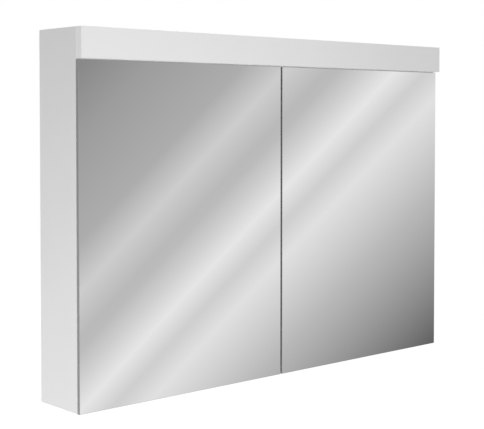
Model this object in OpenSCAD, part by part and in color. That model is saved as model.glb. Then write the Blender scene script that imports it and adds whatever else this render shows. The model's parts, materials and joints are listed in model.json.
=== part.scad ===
// Two-door bathroom mirror cabinet with a light bar across its top.
// The wall is the plane y = 0, the doors face -Y, X runs along the width and
// Z is up. The origin is the middle of the back face.

/* [Cabinet] */
// Width over the two side panels
cabinet_w = 1000; // [800:10:1200]
// Height of the side panels
cabinet_h = 700; // [620:10:800]
// Depth from the wall to the front edges of the panels
carcass_d = 122.5; // [115:0.5:160]
// Thickness of the side, top, bottom and centre panels
board_t = 16; // [15:1:19]
// Thickness of the back panel
back_t = 5; // [4:0.5:8]
// How far the back panel is let into each side panel
back_rebate = 8; // [5:0.5:10]
// Height of the finger recess below the bottom panel
grip_h = 14; // [12:1:20]
// Thickness of the steel cover over the electrical compartment
cover_t = 1.5; // [1:0.25:3]
// Thickness of the rail behind the light bar
rail_t = 16; // [12:1:19]

/* [Doors] */
// Thickness of one mirror pane; two panes are bonded back to back
pane_t = 3; // [3:0.5:4]
// Gap between the panels' front edges and the doors
door_gap = 1.5; // [1.5:0.25:2.5]
// Gap between the two doors
centre_gap = 4; // [2:0.5:6]
// Gap between the doors and the light bar above them
bar_gap = 1.5; // [1.5:0.5:6]
// How far the doors reach above the top panel
door_lap = 5.5; // [3:0.5:8]
// Width of the ground edge round each pane
arris = 0.6; // [0.3:0.1:1]
// Radius of a door bumper
bumper_r = 4; // [3:0.5:5]
// Distance of the bumpers from the cabinet's centre line
bumper_x = 40; // [30:1:60]

/* [Light bar] */
// Height of the light bar
bar_h = 57; // [46:1:70]
// How far the light bar stands in front of the doors
bar_reveal = 12; // [8:0.5:25]
// Wall thickness of the light bar's profile
bar_wall = 1.8; // [1.2:0.1:2.5]
// Thickness of each end cap
cap_t = 2; // [1.5:0.25:4]
// Thickness of the diffusers
diffuser_t = 2; // [1.5:0.25:3]
// Depth of the grooves that hold the diffusers
groove_d = 0.7; // [0.5:0.1:0.9]
// Distance of a diffuser from the edge of the profile
diffuser_inset = 1.1; // [0.8:0.1:2]
// Depth of the channel in front of each light board
channel_d = 12; // [9:0.5:16]
// Width of a light board
led_board_w = 10; // [8:0.5:12]
// Thickness of a light board
led_board_t = 1.2; // [1:0.1:1.6]
// Distance from one light-emitting chip to the next
led_pitch = 24; // [12:2:40]

/* [Shelves] */
// Number of glass shelves on each side of the centre partition
shelf_count = 2; // [2:1:2]
// Thickness of a glass shelf
shelf_t = 5; // [4:0.5:8]
// Clearance at each end of a shelf
shelf_end_gap = 1; // [0.5:0.25:3]
// How far the shelves stay behind the panels' front edges
shelf_setback = 12; // [8:1:30]
// Gap between a shelf and the back panel
shelf_back_gap = 2; // [1:0.5:10]
// Radius of a shelf pin
pin_r = 2.5; // [2.5:0.25:3]
// Depth of a shelf pin in its hole
pin_depth = 6.5; // [5:0.25:6.75]
// Distance between neighbouring shelf pin holes
hole_pitch = 32; // [25:1:40]

/* [Hinges] */
// Height of the hinge line above or below the door's nearest end
hinge_end = 95; // [80:1:120]
// Distance of the turning axis from the door's outer edge
axis_in = 2.5; // [2:0.25:2.75]
// Distance of the turning axis in front of the door's back face
axis_fwd = 4; // [3.75:0.25:4.5]
// Distance between the two pivots of an arm or a boss
link_pitch = 14; // [13.5:0.25:16]
// Width of a hinge link
link_w = 6; // [5:0.25:6.2]
// Thickness of a hinge link
link_t = 2.5; // [2:0.25:3]
// Radius of a hinge pin
hinge_pin_r = 1.5; // [1.25:0.05:1.6]
// Distance from the front edges of the panels to the hinge screws
hinge_row = 37; // [36:0.5:40]
// Distance between the two screws of a hinge plate
hinge_screw_pitch = 32; // [30:1:34]

/* [Wall fixing] */
// Radius of the wall screw holes
wall_hole_r = 3.5; // [2.5:0.25:5]
// Side of a wall fixing plate
wall_plate_w = 40; // [34:1:50]
// Thickness of a wall fixing plate
wall_plate_t = 2; // [1.5:0.25:3]
// Radius of the hole in the cable grommet
cable_r = 5; // [4:0.25:6]

/* [Socket and switch] */
// Width of the socket box
box_w = 100; // [96:1:120]
// Height of the socket box
box_h = 62; // [56:1:80]
// Depth of the socket box
box_d = 40; // [34:1:48]
// Radius of the plug recess
plug_r = 19.75; // [19.5:0.05:20]
// Depth of the plug recess
plug_d = 17.5; // [15:0.5:18]
// Angle that the rocker tilts each way
rocker_tilt = 7; // [5:0.5:8]

/* [Hidden] */
$fn = 48;

// Clearances: round fits, flat fits, and gaps between pieces that move
fit = 0.05;
slip = 0.1;
play = 0.2;
// How far a cut runs past the face that it opens
over = 1;

// Levels and planes of the carcass
half_w = cabinet_w / 2;
inner_w = half_w - board_t;
floor_z = -cabinet_h / 2;
roof_z = cabinet_h / 2;
front_y = -carcass_d;
bottom_z = floor_z + grip_h;
bay_floor_z = bottom_z + board_t;
door_top_z = roof_z - bar_h - bar_gap;
service_z = door_top_z - door_lap;
bay_roof_z = service_z - board_t;
bay_h = bay_roof_z - bay_floor_z;
cover_drop = 1.2;
cover_z = roof_z - cover_drop - cover_t;
door_back_y = front_y - door_gap;
door_front_y = door_back_y - 2 * pane_t;

// Light bar
bar_front_y = door_front_y - bar_reveal;
bar_depth = front_y - bar_front_y;
bar_z = roof_z - bar_h;
bar_inner_w = bar_depth - 2 * bar_wall;
bar_len = cabinet_w - 2 * cap_t;
bar_mid_y = front_y - bar_depth / 2;
web_t = 2;
lead_x = -200;
lead_hole_r = 4;
board_lead_r = 1.5;
bar_screw_xs = [-0.42, -0.14, 0.14, 0.42] * cabinet_w;
bar_screw_z = roof_z - bar_h / 2;
bar_screw_r = 1.9;
bar_screw_head_r = 3.8;
bar_screw_head_h = 2.4;

// Shelves and their pins
shelf_zs = [for (i = [1:shelf_count]) bay_floor_z + i * bay_h / (shelf_count + 1)];
bay_w = inner_w - board_t / 2;
pin_front_y = front_y + hinge_row;
pin_inset = 25;
pin_back_y = -back_t - pin_inset;
paddle = [8, 10, 3];
pin_rows = [-2, -1, 0, 1, 2] * hole_pitch;

// Dowels: half in each panel
dowel_r = 4;
dowel_in_face = 11;
dowel_in_edge = 19;
dowel_inset = 30;
dowel_ys = [-back_t - dowel_inset, front_y + dowel_inset];

// Hinge, in plan: u runs inboard from the side panel's outer face and v runs
// back from the panels' front edges. The door turns about hinge_axis, where
// there is no pin: two pairs of parallel links carry the boss round it.
hinge_axis = [axis_in, -door_gap - axis_fwd];
near_anchor = [board_t + 5.6, 15];
far_anchor = near_anchor + link_pitch * unit(near_anchor - hinge_axis);
near_boss = [board_t + 14.2, 4.5 - door_gap];
far_boss = near_boss + link_pitch * unit(near_boss - hinge_axis);
near_elbow = near_anchor + near_boss - hinge_axis;
long_elbow = near_anchor + far_boss - hinge_axis;
far_elbow = far_anchor + near_boss - hinge_axis;
link_r = link_w / 2;
shank_inset = 0.4;
lever_z = link_t / 2;
strut_z = lever_z + play;
strut_top_z = strut_z + link_t;
rivet_r = 2.4;
rivet_h = 0.6;
hinge_zs = [door_top_z - hinge_end, floor_z + hinge_end];
plate_t = 2.5;
plate_h = hinge_screw_pitch + 12;
plate_v = hinge_row - 8;
plate_l = 36;
pad_h = 11;
pad_t = 3.5;
arm_gap = 0.2;
arm_u = board_t + plate_t + arm_gap;
arm_t = 8.3;
arm_h = 16;
arm_v = 32;
arm_l = 33;
arm_wall = 3;
pad_v = arm_v + arm_wall;
cheek_r = link_r + 0.6;
boss_u = board_t + 6;
boss_w = 28;
boss_h = 38;
boss_t = 9.7;
flange_t = 1.3;
flange_lip = 4;
flange_h = 48;
screw_r = 1.9;
screw_len = 12;
screw_head_r = 3.6;
screw_head_h = 2.2;
adjuster_r = 2;
adjuster_head_r = 3;
adjuster_inset = 10;
adjuster_pitch = 15;
adjuster_vs = [arm_v + adjuster_inset, arm_v + adjuster_inset + adjuster_pitch];

// Wall fixing plates
wall_plate_lip = 20;
wall_x = inner_w - wall_plate_w / 2;
wall_zs = [bay_roof_z - wall_plate_w / 2, bay_floor_z + wall_plate_w / 2];

// Electrical compartment
service_t = 8;
driver = [160, 45, 28];
driver_x = -driver[0];
driver_y = front_y + rail_t + 11;
block = [40, 20, 16];
block_x = 60;
block_y = -60;
grommet_x = block_x + block[0] / 2;
grommet_rise = 30;
grommet_z = service_z + grommet_rise;
grommet_r = 10;
grommet_flange_r = 13;
grommet_flange_t = 2;
cord_r = 3;
wire_r = 2;
wire_hole_r = 5;

// Socket box
box_x = inner_w - wall_plate_w - 10 - box_w;
box_y = -back_t - box_d;
box_z = bay_roof_z - box_h;
box_wall = 2;
plug_inset = 30;
plug_x = box_x + plug_inset;
plug_z = box_z + box_h / 2;
plug_wall = 1.25;
plug_floor = 4.5;
lead_y = -back_t - 9;
contact_r = 2.75;
contact_x = 9.5;
rocker_inset = 22;
rocker_x = box_x + box_w - rocker_inset;
rocker_w = 15;
rocker_h = 24.6;
rocker_y = box_y + 3;
rocker_rise = 3.4;
rocker_back = 3;
trunnion_r = 1.5;
trunnion_l = 3;
lug_t = 4;

function unit(v) = v / norm(v);

// One solid for the left half, or its mirror image for the right half
module on_side(side) {
    mirror([side > 0 ? 1 : 0, 0, 0]) children();
}

// Places plan shapes of a hinge on the left side panel at height z
module at_hinge(z) {
    translate([-half_w, front_y, z]) children();
}

module slab(low, high) {
    translate(low) cube(high - low);
}

// A flat bar in plan with round ends and a slightly narrower shank
module bar_2d(p, q, r) {
    along = unit(q - p);
    across = (r - shank_inset) * [-along[1], along[0]];
    translate(p) circle(r);
    translate(q) circle(r);
    polygon([p + across, p - across, q - across, q + across]);
}

module rounded_rect_2d(w, h, r) {
    for (x = [r, w - r], y = [r, h - r]) translate([x, y]) circle(r);
    translate([r, 0]) square([w - 2 * r, h]);
    translate([0, r]) square([w, h - 2 * r]);
}

// A round rod from p to q
module rod(p, q, r) {
    d = q - p;
    translate(p) rotate([0, acos(d[2] / norm(d)), atan2(d[1], d[0])])
        cylinder(h = norm(d), r = r);
}

// A lead through a list of points, with ball-shaped bends
module lead(points, r) {
    for (i = [1:len(points) - 1]) rod(points[i - 1], points[i], r);
    for (i = [1:len(points) - 2]) translate(points[i]) sphere(r);
}

// A screw with its head at the origin, pointing along +Z
module screw(r, length, head_r, head_h, slot = true) {
    cylinder(r = r, h = length);
    difference() {
        translate([0, 0, -head_h]) cylinder(r = head_r, h = head_h);
        if (slot) {
            slab([-head_r * 0.6, -0.4, -head_h - over], [head_r * 0.6, 0.4, -head_h / 2]);
            slab([-0.4, -head_r * 0.6, -head_h - over], [0.4, head_r * 0.6, -head_h / 2]);
        }
    }
}

// Dowels between the panels; grow makes their holes
module dowels(grow = 0) {
    deep = grow > 0 ? 0.3 : 0;
    length = dowel_in_face + dowel_in_edge + 2 * deep;
    for (side = [-1, 1], y = dowel_ys, z = [bottom_z, bay_roof_z])
        on_side(side)
            translate([-inner_w - dowel_in_face - deep, y, z + board_t / 2])
                rotate([0, 90, 0]) cylinder(r = dowel_r - fit + grow, h = length);
    for (y = dowel_ys) {
        translate([0, y, bay_floor_z - dowel_in_face - deep])
            cylinder(r = dowel_r - fit + grow, h = length);
        translate([0, y, bay_roof_z - dowel_in_edge - deep])
            cylinder(r = dowel_r - fit + grow, h = length);
    }
}

// Holes for the shelf pins in the face at x, opening towards facing
module pin_holes(x, facing) {
    depth = pin_depth + 0.5;
    for (z = shelf_zs, row = pin_rows, y = [pin_front_y, pin_back_y])
        translate([x, y, z - paddle[2] + pin_r + row]) rotate([0, -90 * facing, 0])
            translate([0, 0, -over]) cylinder(r = pin_r + fit, h = depth + over);
}

// Screws that hold the hinge plates; grow makes their holes
module plate_screws(grow = 0) {
    for (side = [-1, 1], z = hinge_zs, dz = [-0.5, 0.5] * hinge_screw_pitch)
        on_side(side) at_hinge(z + dz)
            translate([board_t + plate_t, hinge_row, 0]) rotate([0, -90, 0])
                screw(screw_r + grow, screw_len + plate_t, screw_head_r, screw_head_h);
}

// Screws that hold the wall fixing plates to the side panels
module bracket_screws(grow = 0) {
    for (side = [-1, 1], z = wall_zs, dz = [-0.25, 0.25] * wall_plate_w)
        on_side(side)
            translate([-inner_w + wall_plate_t, -back_t - wall_plate_lip / 2 - 2, z + dz])
                rotate([0, -90, 0])
                    screw(screw_r + grow, screw_len, screw_head_r, screw_head_h);
}

// Screws from the rail into the back of the light bar
module bar_screws(grow = 0) {
    for (x = bar_screw_xs)
        translate([x, front_y + rail_t, bar_screw_z]) rotate([90, 0, 0])
            screw(bar_screw_r + grow, rail_t + bar_wall + 4, bar_screw_head_r,
                  bar_screw_head_h);
}

// Screws from the cover into the rail, with heads no taller than the light bar
module lid_screws(grow = 0) {
    for (x = bar_screw_xs)
        translate([x, front_y + rail_t / 2, cover_z + cover_t]) rotate([180, 0, 0])
            screw(screw_r + grow, screw_len + cover_t, screw_head_r, cover_drop);
}

module side_panel(side) {
    color("gainsboro") difference() {
        on_side(side) difference() {
            slab([-half_w, front_y, floor_z], [-inner_w, 0, roof_z]);
            slab([-inner_w - back_rebate, -back_t, bottom_z], [-inner_w + over, over, roof_z + over]);
        }
        dowels(fit);
        plate_screws(fit);
        bracket_screws(fit);
        pin_holes(side * inner_w, -side);
    }
}

module top_panel() {
    color("gainsboro") difference() {
        slab([-inner_w, front_y, bay_roof_z], [inner_w, -back_t, service_z]);
        dowels(fit);
        translate([plug_x, lead_y, bay_roof_z - over])
            cylinder(r = wire_hole_r, h = board_t + 2 * over);
    }
}

module bottom_panel() {
    color("gainsboro") difference() {
        slab([-inner_w, front_y, bottom_z], [inner_w, -back_t, bay_floor_z]);
        dowels(fit);
    }
}

module back_panel() {
    color("whitesmoke") difference() {
        slab([-inner_w - back_rebate, -back_t, bottom_z],
             [inner_w + back_rebate, 0, cover_z]);
        for (x = [-wall_x, wall_x], z = wall_zs)
            translate([x, over, z]) rotate([90, 0, 0])
                cylinder(r = wall_hole_r, h = back_t + 2 * over);
        translate([grommet_x, over, grommet_z]) rotate([90, 0, 0])
            cylinder(r = grommet_r + fit, h = back_t + 2 * over);
    }
}

module centre_partition() {
    color("gainsboro") difference() {
        slab([-board_t / 2, front_y, bay_floor_z], [board_t / 2, -back_t, bay_roof_z]);
        dowels(fit);
        pin_holes(-board_t / 2, -1);
        pin_holes(board_t / 2, 1);
    }
}

module fascia_rail() {
    color("gainsboro") difference() {
        slab([-inner_w, front_y, service_z], [inner_w, front_y + rail_t, cover_z]);
        bar_screws(fit);
        lid_screws(fit);
        translate([lead_x, front_y - over, bar_screw_z]) rotate([-90, 0, 0])
            cylinder(r = lead_hole_r, h = rail_t + 2 * over);
    }
}

module top_cover() {
    color("silver") difference() {
        slab([-inner_w, front_y, cover_z], [inner_w, 0, cover_z + cover_t]);
        lid_screws(fit);
    }
}

module wall_fixing_plate() {
    difference() {
        union() {
            slab([-inner_w, -back_t - wall_plate_t, -wall_plate_w / 2],
                 [-inner_w + wall_plate_w, -back_t, wall_plate_w / 2]);
            slab([-inner_w, -back_t - wall_plate_lip, -wall_plate_w / 2],
                 [-inner_w + wall_plate_t, -back_t, wall_plate_w / 2]);
        }
        translate([-wall_x, 0, 0]) rotate([90, 0, 0])
            cylinder(r = wall_hole_r, h = back_t + wall_plate_t + over);
    }
}

module wall_fixing_plates() {
    color("silver") difference() {
        for (side = [-1, 1], z = wall_zs)
            on_side(side) translate([0, 0, z]) wall_fixing_plate();
        bracket_screws(fit);
    }
}

module cable_grommet() {
    color("dimgray") translate([grommet_x, 0, grommet_z]) rotate([90, 0, 0]) difference() {
        union() {
            cylinder(r = grommet_r, h = back_t);
            translate([0, 0, back_t])
                cylinder(r = grommet_flange_r, h = grommet_flange_t);
        }
        translate([0, 0, -over])
            cylinder(r = cable_r, h = back_t + grommet_flange_t + 2 * over);
    }
}

module shelf(side, z) {
    color("powderblue")
        slab([side < 0 ? -inner_w + shelf_end_gap : board_t / 2 + shelf_end_gap,
              front_y + shelf_setback, z],
             [side < 0 ? -board_t / 2 - shelf_end_gap : inner_w - shelf_end_gap,
              -back_t - shelf_back_gap, z + shelf_t]);
}

// A shelf pin in a face at x, with its paddle towards facing and its top at z
module shelf_pin(x, y, z, facing) {
    translate([x, y, z - paddle[2] + pin_r]) rotate([0, -90 * facing, 0])
        cylinder(r = pin_r, h = pin_depth);
    low = facing > 0 ? x : x - paddle[0];
    slab([low, y - paddle[1] / 2, z - paddle[2]], [low + paddle[0], y + paddle[1] / 2, z]);
}

module shelf_pins() {
    color("silver") for (z = shelf_zs, y = [pin_front_y, pin_back_y]) {
        shelf_pin(-inner_w, y, z, 1);
        shelf_pin(-board_t / 2, y, z, -1);
        shelf_pin(board_t / 2, y, z, 1);
        shelf_pin(inner_w, y, z, -1);
    }
}

module door_bumpers() {
    color("lightcyan") for (x = [-bumper_x, bumper_x], z = [bottom_z, bay_roof_z])
        translate([x, front_y, z + board_t / 2]) rotate([90, 0, 0])
            cylinder(r = bumper_r, h = door_gap - slip);
}

// The profile of the light bar, seen along X: two walls joined by two webs
module bar_profile_2d() {
    groove_h = diffuser_t + 2 * slip;
    difference() {
        translate([bar_front_y, bar_z]) square([bar_depth, bar_h]);
        translate([bar_front_y + bar_wall, bar_z + channel_d + web_t])
            square([bar_inner_w, bar_h - 2 * channel_d - 2 * web_t]);
        for (z = [bar_z - over, roof_z - channel_d])
            translate([bar_front_y + bar_wall, z])
                square([bar_inner_w, channel_d + over]);
        for (z = [bar_z + diffuser_inset - slip,
                  roof_z - diffuser_inset - diffuser_t - slip])
            translate([bar_front_y + bar_wall - groove_d, z])
                square([bar_inner_w + 2 * groove_d, groove_h]);
    }
}

// Extrudes a shape drawn in Y and Z along X, from -length / 2 to length / 2
module along_x(length) {
    rotate([90, 0, 90]) translate([0, 0, -length / 2]) linear_extrude(length) children();
}

module light_bar_profile() {
    color("whitesmoke") difference() {
        along_x(bar_len) bar_profile_2d();
        bar_screws(fit);
        translate([lead_x, front_y + over, bar_screw_z]) rotate([90, 0, 0])
            cylinder(r = lead_hole_r, h = bar_wall + 2 * over);
        translate([lead_x, bar_mid_y, bar_z + channel_d - over])
            cylinder(r = board_lead_r + over, h = bar_h - 2 * channel_d + 2 * over);
    }
}

// An end cap: a plate with a plug that fits the profile's middle chamber
module light_bar_cap(side) {
    plug_l = 10;
    color("white") on_side(side) {
        slab([-half_w, bar_front_y, bar_z], [-half_w + cap_t, front_y, roof_z]);
        slab([-half_w + cap_t, bar_front_y + bar_wall + slip,
              bar_z + channel_d + web_t + slip],
             [-half_w + cap_t + plug_l, front_y - bar_wall - slip,
              roof_z - channel_d - web_t - slip]);
    }
}

module diffuser(z) {
    half = bar_inner_w / 2 + groove_d - slip;
    color("ivory") along_x(bar_len)
        translate([bar_mid_y - half, z]) square([2 * half, diffuser_t]);
}

// A light board on its web; facing is 1 for chips on top and -1 for chips below
module led_board(z, facing) {
    chip = [3, 2.8, 0.8];
    count = floor((bar_len - 40) / led_pitch);
    color("lightyellow") translate([0, bar_mid_y, z]) mirror([0, 0, facing < 0 ? 1 : 0]) {
        slab([-bar_len / 2 + 10, -led_board_w / 2, 0],
             [bar_len / 2 - 10, led_board_w / 2, led_board_t]);
        for (i = [0:count])
            translate([(i - count / 2) * led_pitch - chip[0] / 2, -chip[1] / 2, led_board_t])
                cube(chip);
    }
}

module led_driver() {
    color("white") translate([driver_x, driver_y, service_z]) difference() {
        cube(driver);
        for (x = [-over, driver[0] - 6])
            translate([x, 5, driver[2] - 10]) cube([6 + over, driver[1] - 10, 10 + over]);
    }
}

module terminal_block() {
    color("ivory") translate([block_x, block_y, service_z]) difference() {
        cube(block);
        for (i = [0:2]) translate([8 + i * 12, block[1] / 2, block[2] - 6])
            cylinder(r = 2.5, h = 6 + over);
    }
}

module internal_wiring() {
    z = service_z + service_t;
    color("gray") {
        lead([[block_x, block_y + 10, z], [20, block_y + 10, z], [20, driver_y + 20, z],
              [0, driver_y + 20, z]], wire_r);
        lead([[driver_x, driver_y + 20, z + 5], [lead_x, driver_y + 20, z + 5],
              [lead_x, driver_y + 20, bar_screw_z], [lead_x, bar_mid_y, bar_screw_z]], wire_r);
        translate([lead_x, bar_mid_y, bar_z + channel_d])
            cylinder(r = board_lead_r, h = bar_h - 2 * channel_d);
        lead([[block_x + block[0], block_y + 10, z], [plug_x, block_y + 10, z],
              [plug_x, lead_y, z], [plug_x, lead_y, plug_z],
              [plug_x, box_y + plug_d + plug_floor, plug_z]], cord_r);
    }
}

module socket_box() {
    rocker_cut = [rocker_w + 2 * play, rocker_h + 1.4];
    color("white") difference() {
        union() {
            difference() {
                slab([box_x, box_y, box_z], [box_x + box_w, -back_t, bay_roof_z]);
                slab([box_x + box_wall, box_y + box_wall, box_z + box_wall],
                     [box_x + box_w - box_wall, -back_t + over, bay_roof_z - box_wall]);
            }
            for (side = [-1, 1])
                translate([rocker_x + side * (rocker_w / 2 + play + lug_t / 2), 0, plug_z])
                    slab([-lug_t / 2, box_y + box_wall - slip, -5],
                         [lug_t / 2, rocker_y + 4, 5]);
        }
        translate([plug_x, box_y - over, plug_z]) rotate([-90, 0, 0])
            cylinder(r = plug_r + plug_wall + fit, h = box_wall + 2 * over);
        slab([rocker_x - rocker_cut[0] / 2, box_y - over, plug_z - rocker_cut[1] / 2],
             [rocker_x + rocker_cut[0] / 2, box_y + box_wall + over,
              plug_z + rocker_cut[1] / 2]);
        translate([rocker_x - rocker_w / 2 - trunnion_l - play, rocker_y, plug_z])
            rotate([0, 90, 0])
                cylinder(r = trunnion_r + fit, h = rocker_w + 2 * trunnion_l + 2 * play);
        translate([plug_x, lead_y, bay_roof_z - box_wall - over])
            cylinder(r = wire_hole_r, h = box_wall + 2 * over);
    }
}

module socket_insert() {
    collar_w = 1.75;
    color("white") translate([plug_x, box_y, plug_z]) rotate([-90, 0, 0]) difference() {
        union() {
            cylinder(r = plug_r + plug_wall, h = plug_d + plug_floor);
            translate([0, 0, box_wall])
                cylinder(r = plug_r + plug_wall + collar_w, h = box_wall);
        }
        translate([0, 0, -over]) cylinder(r = plug_r, h = plug_d + over);
        for (x = [-contact_x, contact_x]) translate([x, 0, plug_d - over])
            cylinder(r = contact_r, h = plug_floor + 2 * over);
    }
}

// The rocker in its off position: the upper half stands out
module switch_rocker() {
    rise = rocker_h / 2 * tan(rocker_tilt);
    color("white") translate([rocker_x, rocker_y, plug_z]) rotate([rocker_tilt, 0, 0]) {
        along_x(rocker_w) polygon([
            [-rocker_rise, 0], [-rocker_rise - rise, rocker_h / 2],
            [0, rocker_h / 2], [rocker_back, rocker_h / 4],
            [rocker_back, -rocker_h / 4], [0, -rocker_h / 2],
            [-rocker_rise - rise, -rocker_h / 2]
        ]);
        translate([-rocker_w / 2 - trunnion_l, 0, 0]) rotate([0, 90, 0])
            cylinder(r = trunnion_r, h = rocker_w + 2 * trunnion_l);
    }
}

// A mirror pane with ground edges; the ground edge faces -Y if outward is true
module pane(side, outward) {
    low_x = -half_w;
    high_x = -centre_gap / 2;
    y = outward ? door_front_y : door_front_y + pane_t;
    ground = outward ? arris : 0;
    inner = outward ? 0 : arris;
    color("lightgray") on_side(side) hull() {
        slab([low_x, y + ground, floor_z], [high_x, y + pane_t - inner, door_top_z]);
        slab([low_x + arris, y, floor_z + arris], [high_x - arris, y + pane_t, door_top_z - arris]);
    }
}

// The plate that is screwed to the side panel, with the pad that the arm sits on
module hinge_plate(side, z) {
    color("silver") difference() {
        on_side(side) at_hinge(z) {
            slab([board_t, plate_v, -plate_h / 2],
                 [board_t + plate_t, plate_v + 16, plate_h / 2]);
            slab([board_t, plate_v, -arm_h / 2],
                 [board_t + plate_t, plate_v + plate_l, arm_h / 2]);
            slab([board_t, pad_v, -pad_h / 2],
                 [board_t + plate_t + pad_t, plate_v + plate_l, pad_h / 2]);
        }
        plate_screws(fit);
        adjusters(fit);
    }
}

// The two adjusting screws in each arm; grow makes their holes
module adjusters(grow = 0) {
    for (side = [-1, 1], z = hinge_zs, v = adjuster_vs)
        on_side(side) at_hinge(z) translate([arm_u + arm_t, v, 0]) rotate([0, -90, 0])
            screw(adjuster_r + grow, arm_t + pad_t / 2, adjuster_head_r, 1);
}

// The cheeks in plan, which hold both anchor pins
module cheek_2d() {
    root = [arm_u + cheek_r + slip, pad_v - slip - cheek_r];
    bar_2d(near_anchor, far_anchor, cheek_r);
    bar_2d(near_anchor, root, cheek_r);
    bar_2d(far_anchor, root, cheek_r);
    polygon([near_anchor, far_anchor, root]);
}

// A pin with a rivet head at each end
module rivet(p, low, high) {
    translate([p[0], p[1], low]) cylinder(r = hinge_pin_r, h = high - low);
    translate([p[0], p[1], low - rivet_h]) cylinder(r = rivet_r, h = rivet_h);
    translate([p[0], p[1], high]) cylinder(r = rivet_r, h = rivet_h);
}

module hinge_arm(side, z) {
    color("silver") difference() {
        on_side(side) at_hinge(z) {
            difference() {
                slab([arm_u, arm_v, -arm_h / 2], [arm_u + arm_t, arm_v + arm_l, arm_h / 2]);
                slab([arm_u - over, pad_v - slip, -pad_h / 2 - slip],
                     [board_t + plate_t + pad_t + slip, arm_v + arm_l + over,
                      pad_h / 2 + slip]);
            }
            for (low = [strut_z, -strut_top_z])
                translate([0, 0, low]) linear_extrude(link_t) cheek_2d();
            for (p = [near_anchor, far_anchor]) rivet(p, -strut_top_z, strut_top_z);
        }
        adjusters(fit);
    }
}

// The boss bonded to the door's back mirror, slotted for the struts
module hinge_boss(side, z) {
    slot_z = strut_top_z + play;
    color("gray") on_side(side) at_hinge(z) {
        difference() {
            union() {
                translate([boss_u - flange_lip, -door_gap, -flange_h / 2])
                    rotate([90, 0, 0]) mirror([0, 0, 1])
                        linear_extrude(flange_t)
                            rounded_rect_2d(boss_w + 2 * flange_lip, flange_h, 6);
                translate([boss_u, -door_gap, -boss_h / 2])
                    rotate([90, 0, 0]) mirror([0, 0, 1])
                        linear_extrude(flange_t + boss_t)
                            rounded_rect_2d(boss_w, boss_h, 4);
            }
            for (low = [lever_z, -slot_z])
                slab([boss_u - over, -door_gap + flange_t, low],
                     [boss_u + boss_w + over, boss_t + over, low + slot_z - lever_z]);
        }
        for (p = [near_boss, far_boss])
            translate([p[0], p[1], -slot_z - slip])
                cylinder(r = hinge_pin_r, h = 2 * slot_z + 2 * slip);
    }
}

// A hole for a pin, right through a link
module pin_hole(p) {
    translate([p[0], p[1], -over]) cylinder(r = hinge_pin_r + fit, h = link_t + 2 * over);
}

// The long lever: anchor, near elbow and long elbow
module long_lever() {
    difference() {
        translate([0, 0, -lever_z]) linear_extrude(link_t)
            bar_2d(near_anchor, long_elbow, link_r);
        translate([0, 0, -lever_z]) pin_hole(near_anchor);
    }
    translate([near_elbow[0], near_elbow[1], 0]) {
        cylinder(r = hinge_pin_r, h = strut_top_z + play);
        translate([0, 0, strut_top_z + play]) cylinder(r = rivet_r, h = rivet_h);
    }
    translate([long_elbow[0], long_elbow[1], 0]) mirror([0, 0, 1]) {
        cylinder(r = hinge_pin_r, h = strut_top_z + play);
        translate([0, 0, strut_top_z + play]) cylinder(r = rivet_r, h = rivet_h);
    }
}

module short_lever() {
    difference() {
        translate([0, 0, -lever_z]) linear_extrude(link_t)
            bar_2d(far_anchor, far_elbow, link_r);
        translate([0, 0, -lever_z]) pin_hole(far_anchor);
    }
    translate([far_elbow[0], far_elbow[1], 0]) {
        cylinder(r = hinge_pin_r, h = strut_top_z + play);
        translate([0, 0, strut_top_z + play]) cylinder(r = rivet_r, h = rivet_h);
    }
}

module long_strut() {
    translate([0, 0, strut_z]) difference() {
        linear_extrude(link_t) {
            bar_2d(near_boss, far_elbow, link_r);
            translate(near_elbow) circle(link_r);
        }
        for (p = [near_boss, near_elbow, far_elbow]) pin_hole(p);
    }
}

module short_strut() {
    translate([0, 0, -strut_top_z]) difference() {
        linear_extrude(link_t) bar_2d(far_boss, long_elbow, link_r);
        for (p = [far_boss, long_elbow]) pin_hole(p);
    }
}

module links(side) {
    color("darkgray") on_side(side) for (z = hinge_zs) at_hinge(z) children();
}

module hinge_screws() {
    color("lightgray") {
        plate_screws();
        adjusters();
    }
}

side_panel(-1);  // left_side_panel
side_panel(1);  // right_side_panel
top_panel();
bottom_panel();
back_panel();
centre_partition();
fascia_rail();
top_cover();
color("burlywood") dowels();  // carcass_dowels
color("silver") lid_screws();  // cover_screws
wall_fixing_plates();
color("silver") bracket_screws();  // wall_plate_screws
cable_grommet();
shelf(-1, shelf_zs[1]);  // left_upper_shelf
shelf(-1, shelf_zs[0]);  // left_lower_shelf
shelf(1, shelf_zs[1]);  // right_upper_shelf
shelf(1, shelf_zs[0]);  // right_lower_shelf
shelf_pins();
door_bumpers();
light_bar_profile();
light_bar_cap(-1);  // light_bar_left_cap
light_bar_cap(1);  // light_bar_right_cap
diffuser(bar_z + diffuser_inset);  // lower_diffuser
diffuser(roof_z - diffuser_inset - diffuser_t);  // upper_diffuser
led_board(bar_z + channel_d, -1);  // lower_led_board
led_board(roof_z - channel_d, 1);  // upper_led_board
color("silver") bar_screws();  // light_bar_screws
led_driver();
terminal_block();
internal_wiring();
socket_box();
socket_insert();
switch_rocker();
pane(-1, true);  // left_door_front_mirror
pane(-1, false);  // left_door_back_mirror
pane(1, true);  // right_door_front_mirror
pane(1, false);  // right_door_back_mirror
hinge_plate(-1, hinge_zs[0]);  // left_upper_hinge_plate
hinge_plate(-1, hinge_zs[1]);  // left_lower_hinge_plate
hinge_plate(1, hinge_zs[0]);  // right_upper_hinge_plate
hinge_plate(1, hinge_zs[1]);  // right_lower_hinge_plate
hinge_arm(-1, hinge_zs[0]);  // left_upper_hinge_arm
hinge_arm(-1, hinge_zs[1]);  // left_lower_hinge_arm
hinge_arm(1, hinge_zs[0]);  // right_upper_hinge_arm
hinge_arm(1, hinge_zs[1]);  // right_lower_hinge_arm
hinge_boss(-1, hinge_zs[0]);  // left_upper_hinge_boss
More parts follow.
